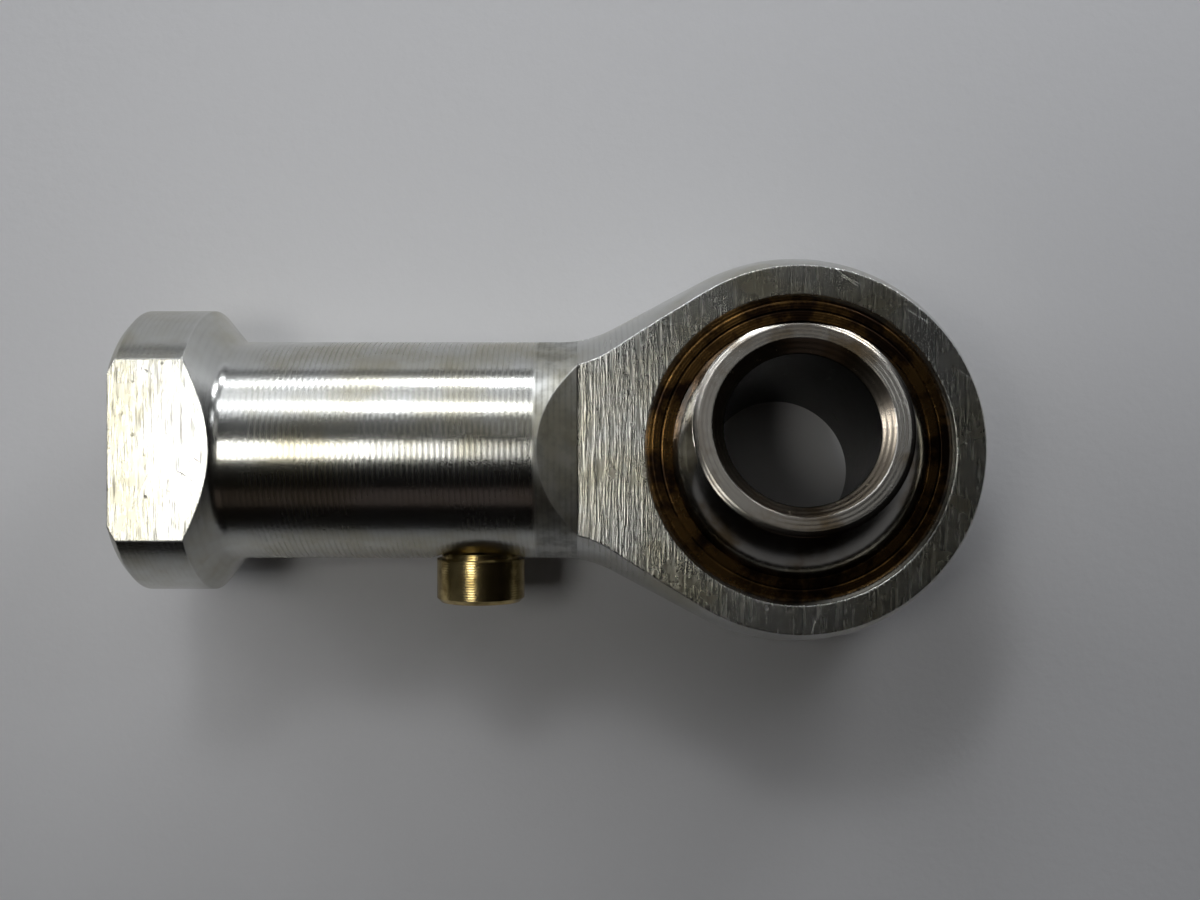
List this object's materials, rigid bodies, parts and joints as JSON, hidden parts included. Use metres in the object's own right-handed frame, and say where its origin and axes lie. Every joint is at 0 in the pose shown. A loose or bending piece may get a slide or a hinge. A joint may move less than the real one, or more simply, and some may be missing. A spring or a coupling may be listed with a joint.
{
  "type": "female rod end bearing",
  "caption": "Female rod end bearing: steel eye on a threaded shank with wrench flats, holding a tilting steel ball in a bronze race, with a brass grease nipple.",
  "frame": {"origin": "centre of the ball, which is the centre of the eye", "axes": "-X along the shank towards its threaded end, +Z along the axis of the eye, -Y towards the grease nipple"},
  "size_m": [0.0674, 0.0308, 0.0192],
  "materials": {
    "zinc_plated_steel": "turned and milled, bright zinc plate",
    "bronze": "oiled bronze",
    "bearing_steel": "ground bearing steel",
    "brass": "turned brass",
    "spring_steel": "drawn wire"
  },
  "bodies": {
    "rod_end": {"housing": "zinc_plated_steel", "outer_race": "bronze", "channel_plug": "bearing_steel", "nipple_body": "brass", "nipple_spring": "spring_steel"},
    "inner_ring": {"ball": "bearing_steel"},
    "valve": {"nipple_check_ball": "bearing_steel"}
  },
  "joints": [
    {"name": "ball_swivel", "type": "hinge", "parent": "rod_end", "child": "inner_ring", "pos_m": [0, 0, 0], "axis": [1, 0, 0], "range_deg": [0, 26]},
    {"name": "valve_lift", "type": "slide", "parent": "rod_end", "child": "valve", "axis": [0, 1, 0], "range_m": [0, 0.0006], "stiffness_N_per_m": 300, "springref_m": -0.001, "deforming": ["nipple_spring"]}
  ]
}
